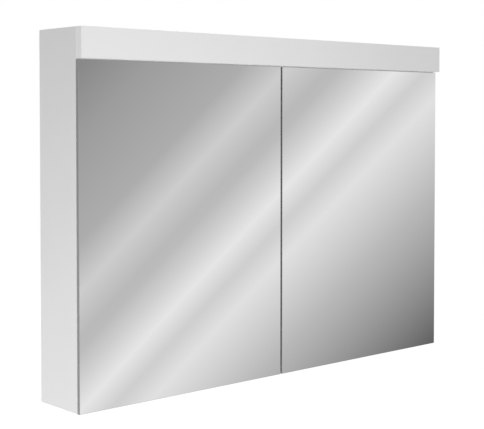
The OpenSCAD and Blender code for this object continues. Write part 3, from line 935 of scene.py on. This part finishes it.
@dataclass
class SocketUnit(Assembly):
    """Socket and switch inside the right half.

    Sizes are in millimetres and the tilt is in degrees. Depths in the recess
    count from its mouth. The clip's bow gives depths, and how far it stands off
    the recess wall there.
    """

    box_edge: float = 1.0
    insert_edge: float = 0.5
    recess_r: float = 19.75
    floor_t: float = 4.5
    contact_x: float = 9.5
    sleeve_r: float = 2.7
    sleeve_bore: float = 2.1
    sleeve_mouth: float = 2.3
    sleeve_steps: int = 32
    clip_bow: tuple[Pair, ...] = ((2.0, 0.3), (5.0, 1.4), (9.0, 2.0), (13.0, 1.4))
    clip_half: float = 2.25
    clip_t: float = 0.6
    wall_gap: float = 0.02
    tilt: float = 7.0
    key: Pair = (15.0, 24.6)
    key_edge: float = 0.8
    key_rise: float = 3.4
    key_back: float = 3.0
    dish: float = 1.7
    dish_steps: int = 12
    pin_r: float = 1.5
    pin_tip: float = 0.3
    pin_steps: int = 24

    def shape(self) -> None:
        """Eases box and insert, and builds contacts, clips and the dished rocker."""
        self.ease(SOCKET_PLASTIC, self.box_edge, "socket_box", steps=3)
        self.ease(SOCKET_PLASTIC, self.insert_edge, "socket_insert")
        self.contacts()
        self.rocker()

    def contacts(self) -> None:
        """Builds the two contact sleeves and the two earth clips in the recess."""
        low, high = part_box("socket_insert")
        centre = Vector(((low.x + high.x) / 2, low.y, (low.z + high.z) / 2))
        depth = (high.y - low.y) / MM
        floor = depth - self.floor_t
        solid = bmesh.new()
        sleeve = [
            (self.sleeve_r, floor + 0.4), (self.sleeve_r, depth - 0.3),
            (self.sleeve_bore, depth - 0.3), (self.sleeve_bore, floor + 0.9),
            (self.sleeve_mouth, floor + 0.4),
        ]
        for x in (-self.contact_x, self.contact_x):
            at = facing(centre + Vector((x * MM, 0, 0)), Vector((0, 1, 0)))
            turn(solid, sleeve, at, self.sleeve_steps, ring=True)
        wall = self.recess_r - self.wall_gap
        spring = [(y, wall - off) for y, off in (*self.clip_bow, (floor - 0.3, 0.4))]
        clip = spring + [(y, z - self.clip_t) for y, z in reversed(spring)]
        for flip in (1, -1):
            place = Matrix.Translation(centre) @ Matrix.Diagonal((1, 1, flip, 1))
            prism(solid, clip, -self.clip_half, self.clip_half, place)
        self.made.append((shown("socket_contacts", solid, "cabinet"), PIN_NICKEL))

    def rocker(self) -> None:
        """Builds the rocker with a dished face, in its off position."""
        low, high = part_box("switch_rocker")
        wide, tall = self.key
        rise = tall / 2 * math.tan(math.radians(self.tilt))
        steps = self.dish_steps
        pivot = pivot_of("switch_tilt")
        place = Matrix.Translation(pivot) @ Matrix.Rotation(math.radians(self.tilt), 4, "X")
        face = [
            (-self.key_rise - rise * abs(2 * i / steps - 1) ** self.dish,
             tall * (i / steps - 0.5))
            for i in range(steps + 1)
        ]
        back = [(0, tall / 2), (self.key_back, tall / 4), (self.key_back, -tall / 4),
                (0, -tall / 2)]
        solid = bmesh.new()
        prism(solid, face + back, -wide / 2, wide / 2, place)
        ease_edges(solid, self.key_edge, 3)
        root = wide / 2 - 1
        reach = (high.x - low.x) / MM / 2
        pin = [(0, root), (self.pin_r, root), (self.pin_r, reach - self.pin_tip),
               (self.pin_r - self.pin_tip, reach), (0, reach)]
        for way in (1, -1):
            turn(solid, pin, facing(pivot, Vector((way, 0, 0))), self.pin_steps)
        piece = shown("dished_rocker", solid, "switch_rocker")
        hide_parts("switch_rocker")
        self.made.append((piece, SOCKET_PLASTIC))


@dataclass
class WallFixings(Assembly):
    """The four wall plates and the screws of plates and hinges. Sizes are in millimetres."""

    plate_edge: float = 0.35

    def shape(self) -> None:
        """Eases the plates and keeps the screws."""
        self.ease(ZINC_PLATE, self.plate_edge, "wall_fixing_plates")
        self.keep(ZINC_PLATE, "wall_plate_screws")
        self.keep(HINGE_NICKEL, "hinge_screws")


# The studio


@dataclass(frozen=True)
class Strip:
    """A slanting strip of light on the tent: its crest, its reach each way, its light."""

    crest: float
    before: float
    after: float
    lift: float


@dataclass(frozen=True)
class Lamp:
    """A square soft lamp: where it stands, what it points at, its side and its power."""

    name: str
    place: Triple
    aim: Triple
    side: float
    watts: float


@dataclass(frozen=True)
class Studio:
    """Camera, lamps, floor, and the round tent that the mirrors reflect.

    The tent carries a soft grey tone with slanting strips of light, and only
    reflections show it. A place across the strips is a number that grows by
    tent_turn for each radian round the tent and falls by tent_rise for each
    metre of height at a metre from its middle. Towards the middle of its floor
    and its ceiling the strips ease into straight rays, from the steepest slope on,
    and between the slopes calm_from and calm_to they fade into one plain tone.
    """

    camera_at: Triple = (-1.6411, -1.8660, 0.1895)
    yaw: float = 41.42
    pitch: float = 1.92
    focal_px: float = 1149.3
    rise_px: float = 60.0
    sensor: float = 36.0
    floor_z: float = -1.55
    floor_half: float = 9.0
    floor_colour: str = "#E4E4E4"
    floor_lift: float = 0.68
    tent_r: float = 4.0
    tent_foot: float = -1.54
    tent_top: float = 4.0
    tent_sides: int = 72
    tent_turn: float = 4.2907
    tent_rise: float = 4.0091
    tent_shift: float = -0.0144
    steepest: float = 1.0
    easing: float = 0.6
    calm_from: float = 1.1
    calm_to: float = 2.5
    calm_tone: float = 0.36
    repeats: int = 3
    tone: tuple[Pair, ...] = (
        (-1.95, 0.195), (-1.8, 0.202), (-1.52, 0.251), (-1.14, 0.335), (0.19, 0.518),
        (0.752, 0.684), (1.32, 0.455), (2.102, 0.11), (2.3, 0.068), (2.5, 0.058),
    )
    strips: tuple[Strip, ...] = (
        Strip(-0.289, 0.271, 0.25, 0.156), Strip(0.368, 0.332, 0.177, 0.218),
        Strip(0.737, 0.152, 0.531, 0.063),
    )
    lamps: tuple[Lamp, ...] = (
        Lamp("low_left_lamp", (-1.75, -0.5, -1.0), (-0.3, -0.1, 0.0), 1.5, 21.4),
        Lamp("front_lamp", (-0.52, -2.0, 0.15), (-0.35, -0.1, 0.0), 0.41, 13.4),
        Lamp("back_lamp", (2.4, 1.2, 0.3), (0.2, 0.0, 0.0), 1.6, 38.0),
        Lamp("top_lamp", (0.3, 0.9, 2.0), (0.1, 0.0, 0.3), 0.9, 22.0),
    )
    ambient: str = "#D9D9D9"
    ambient_level: float = 0.635

    def set_up(self) -> None:
        """Builds the whole studio."""
        scene = bpy.context.scene
        scene.view_settings.view_transform = "Standard"
        self.camera(scene)
        self.world(scene)
        self.floor()
        self.tent()
        for lamp in self.lamps:
            self.lamp(lamp)
        log.info("studio set up")

    def camera(self, scene: bpy.types.Scene) -> None:
        """Places the camera at the photograph's viewing angle.

        Args:
            scene: The scene that looks through it.
        """
        data = bpy.data.cameras.new("camera")
        data.sensor_width = self.sensor
        data.lens = self.focal_px * self.sensor / PICTURE_W
        data.shift_y = -self.rise_px / PICTURE_W
        camera = bpy.data.objects.new("camera", data)
        camera.location = self.camera_at
        camera.rotation_euler = (
            math.radians(90 - self.pitch), 0, math.radians(-self.yaw),
        )
        scene.collection.objects.link(camera)
        scene.camera = camera

    def seen(self, tree: Tree) -> Socket:
        """Gives 1 for the rays that see the bright backdrop, and 0 for light.

        Args:
            tree: The node tree.

        Returns:
            The socket with that number.
        """
        path = add(tree, "ShaderNodeLightPath")
        return chain(tree, path.outputs[Seen.CAMERA.value],
                     ("MAXIMUM", path.outputs[Seen.GLOSSY.value]),
                     ("MAXIMUM", path.outputs[Seen.TRANSMISSION.value]))

    def world(self, scene: bpy.types.Scene) -> None:
        """Lights the scene with a soft grey, and shows white behind it.

        Args:
            scene: The scene that gets the world.
        """
        world = bpy.data.worlds.new("studio_air")
        world.use_nodes = True
        tree = world.node_tree
        tree.nodes.clear()
        soft, white = (
            add(tree, "ShaderNodeBackground", {"Color": linear(tone), "Strength": level})
            for tone, level in ((self.ambient, self.ambient_level), (WHITE, 1.0))
        )
        both = add(tree, "ShaderNodeMixShader", {
            0: self.seen(tree), 1: soft.outputs[0], 2: white.outputs[0],
        })
        add(tree, "ShaderNodeOutputWorld", {"Surface": both.outputs[0]})
        scene.world = world

    def floor(self) -> None:
        """Lays a plain pale floor, which looks white and keeps its shadow."""
        material = blank("pale_studio_floor")
        tree = material.node_tree
        matt = add(tree, "ShaderNodeBsdfDiffuse", {"Color": linear(self.floor_colour)})
        level = chain(tree, self.seen(tree), ("MULTIPLY", self.floor_lift))
        lift = add(tree, "ShaderNodeEmission", {"Color": linear(WHITE), "Strength": level})
        both = add(tree, "ShaderNodeAddShader", {0: matt.outputs[0], 1: lift.outputs[0]})
        add(tree, "ShaderNodeOutputMaterial", {"Surface": both.outputs[0]})
        half = self.floor_half
        corners = [(-half, -half, 0), (half, -half, 0), (half, half, 0), (-half, half, 0)]
        place = Vector((0, 0, self.floor_z))
        self.stand("studio_floor", corners, [(0, 1, 2, 3)], place, material)

    def stand(self, name: str, corners: Sequence[Triple], faces: Sequence[Sequence[int]],
              place: Vector, material: bpy.types.Material) -> Piece:
        """Makes a stage piece.

        Args:
            name: Its name.
            corners: Its corners, in metres from its own origin.
            faces: The corners of each face.
            place: Where its origin goes.
            material: What it is made of.

        Returns:
            The piece.
        """
        mesh = bpy.data.meshes.new(name)
        mesh.from_pydata(corners, [], faces)
        mesh.materials.append(material)
        piece = bpy.data.objects.new(name, mesh)
        piece.location = place
        bpy.context.scene.collection.objects.link(piece)
        return piece

    def tent(self) -> None:
        """Stands a round tent about the cabinet, which only reflections show."""
        count = self.tent_sides
        turns = [2 * math.pi * i / count for i in range(count)]
        corners = [
            (self.tent_r * math.cos(a), self.tent_r * math.sin(a), z)
            for z in (self.tent_foot, self.tent_top) for a in turns
        ]
        walls = [
            (i, (i + 1) % count, count + (i + 1) % count, count + i) for i in range(count)
        ]
        middle = Vector((0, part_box("left_door_front_mirror")[0].y, 0))
        faces = [tuple(range(count)), *walls, tuple(range(count, 2 * count))]
        piece = self.stand("light_tent", corners, faces, middle, self.tent_tone())
        for sight in ("camera", "diffuse", "transmission", "shadow", "volume_scatter"):
            setattr(piece, f"visible_{sight}", False)

    def tent_tone(self) -> bpy.types.Material:
        """Makes the tent's grey tone with its slanting strips of light.

        Returns:
            The material.
        """
        material = blank("light_tent")
        tree = material.node_tree
        coords = add(tree, "ShaderNodeTexCoord").outputs["Object"]
        x, y, z = add(tree, "ShaderNodeSeparateXYZ", {0: coords}).outputs
        reach = chain(tree, x, ("MULTIPLY", x), ("ADD", chain(tree, y, ("MULTIPLY", y))),
                      ("SQRT",))
        slope = chain(tree, z, ("DIVIDE", reach))
        height = chain(tree, slope, ("SMOOTH_MAX", -self.steepest, self.easing),
                       ("SMOOTH_MIN", self.steepest, self.easing),
                       ("MULTIPLY", self.tent_rise))
        first = self.tone[0][0]
        span = math.pi * self.tent_turn / self.repeats
        across = chain(
            tree, x, ("ARCTAN2", chain(tree, y, ("MULTIPLY", -1.0))),
            ("SUBTRACT", math.radians(self.yaw)), ("MULTIPLY", self.tent_turn),
            ("SUBTRACT", height), ("ADD", self.tent_shift - first), ("PINGPONG", span),
            ("ADD", first),
        )
        light = self.base_tone(tree, across, first, first + span)
        for strip in self.strips:
            slopes = [
                add(tree, "ShaderNodeMapRange", {
                    "Value": across, "From Min": strip.crest + foot, "From Max": strip.crest,
                }).outputs[0]
                for foot in (-strip.before, strip.after)
            ]
            light = chain(tree, slopes[0], ("MINIMUM", slopes[1]), ("MULTIPLY", strip.lift),
                          ("ADD", light))
        kept = add(tree, "ShaderNodeMapRange", {
            "Value": chain(tree, slope, ("ABSOLUTE",)), "From Min": self.calm_from,
            "From Max": self.calm_to, "To Min": 1.0, "To Max": 0.0,
        }, interpolation_type="SMOOTHSTEP").outputs[0]
        light = chain(tree, light, ("SUBTRACT", self.calm_tone), ("MULTIPLY", kept),
                      ("ADD", self.calm_tone))
        glow = add(tree, "ShaderNodeEmission", {
            "Color": light, "Strength": 1 / linear(MIRROR.silver)[1],
        })
        add(tree, "ShaderNodeOutputMaterial", {"Surface": glow.outputs[0]})
        material.cycles.emission_sampling = "NONE"
        return material

    def base_tone(self, tree: Tree, across: Socket, first: float, last: float) -> Socket:
        """Builds the tent's own tone, a line through a few levels.

        Args:
            tree: The node tree.
            across: The place across the strips.
            first: The place where the tone starts.
            last: The place where it ends.

        Returns:
            The light's level.
        """
        share = add(tree, "ShaderNodeMapRange", {
            "Value": across, "From Min": first, "From Max": last,
        }).outputs[0]
        ramp = add(tree, "ShaderNodeValToRGB", {0: share})
        marks = ramp.color_ramp.elements
        while len(marks) < len(self.tone):
            marks.new(0.5)
        for mark, (at, level) in zip(marks, self.tone):
            mark.position = (at - first) / (last - first)
            mark.color = (level, level, level, 1)
        return ramp.outputs[0]

    def lamp(self, lamp: Lamp) -> None:
        """Sets up one soft lamp, which no reflection shows.

        Args:
            lamp: The lamp's place and power.
        """
        data = bpy.data.lights.new(lamp.name, "AREA")
        data.size = lamp.side
        data.energy = lamp.watts
        piece = bpy.data.objects.new(lamp.name, data)
        aimed = (Vector(lamp.aim) - Vector(lamp.place)).to_track_quat("-Z", "Y")
        piece.matrix_world = Matrix.Translation(lamp.place) @ aimed.to_matrix().to_4x4()
        bpy.context.scene.collection.objects.link(piece)
        piece.visible_camera = False
        piece.visible_glossy = False


def main() -> None:
    """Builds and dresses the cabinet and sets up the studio."""
    logging.basicConfig(level=logging.INFO, format="%(message)s")
    parts: list[Assembly] = [Carcass(), Shelving(), LightBar(), Supply(), SocketUnit(),
                             WallFixings()]
    for side in Side:
        parts += [Door(side=side), Linkage(side=side)]
        parts += [Hinge(side=side, level=level) for level in Level]
    for part in parts:
        part.shape()
        part.dress()
    Studio().set_up()


if __name__ == "__main__":
    main()
